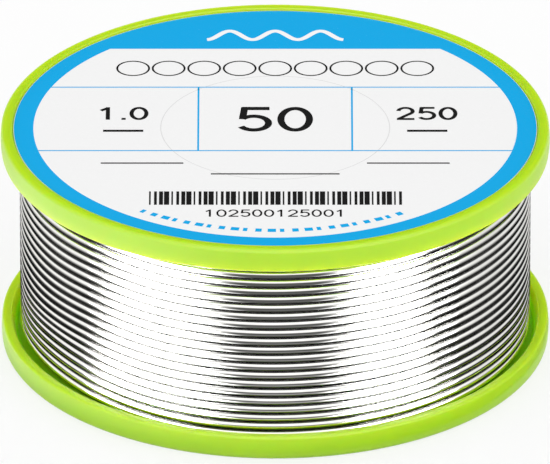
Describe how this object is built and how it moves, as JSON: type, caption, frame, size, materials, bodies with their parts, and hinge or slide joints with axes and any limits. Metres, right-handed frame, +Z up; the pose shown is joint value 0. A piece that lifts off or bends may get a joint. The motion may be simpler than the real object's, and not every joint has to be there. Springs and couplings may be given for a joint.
{
  "type": "solder_wire_spool",
  "caption": "Full spool of flux-cored solder wire: two snapped green mouldings, wound wire with its free end tied off, and a round paper label",
  "frame": {"origin": "centre of the base: the point on the hub's axis in the plane of the lower rim", "axes": "+Z up along the hub's axis towards the label; -Y towards the viewer; +X to the viewer's right"},
  "size_m": [0.06, 0.06, 0.0256],
  "materials": {
    "green_plastic": "polished injection moulding, translucent lime green",
    "solder_alloy": "bright drawn tin alloy wire",
    "flux_rosin": "amber solid rosin",
    "label_paper": "coated white paper, printed blue and black"
  },
  "bodies": {
    "root": {"lower_spool_half": "green_plastic", "upper_spool_half": "green_plastic", "inner_wire_layers": "solder_alloy", "outer_wire_layer": "solder_alloy", "wire_start_end": "solder_alloy", "free_end_flux_core": "flux_rosin", "start_end_flux_core": "flux_rosin", "front_label": "label_paper"}
  },
  "joints": []
}
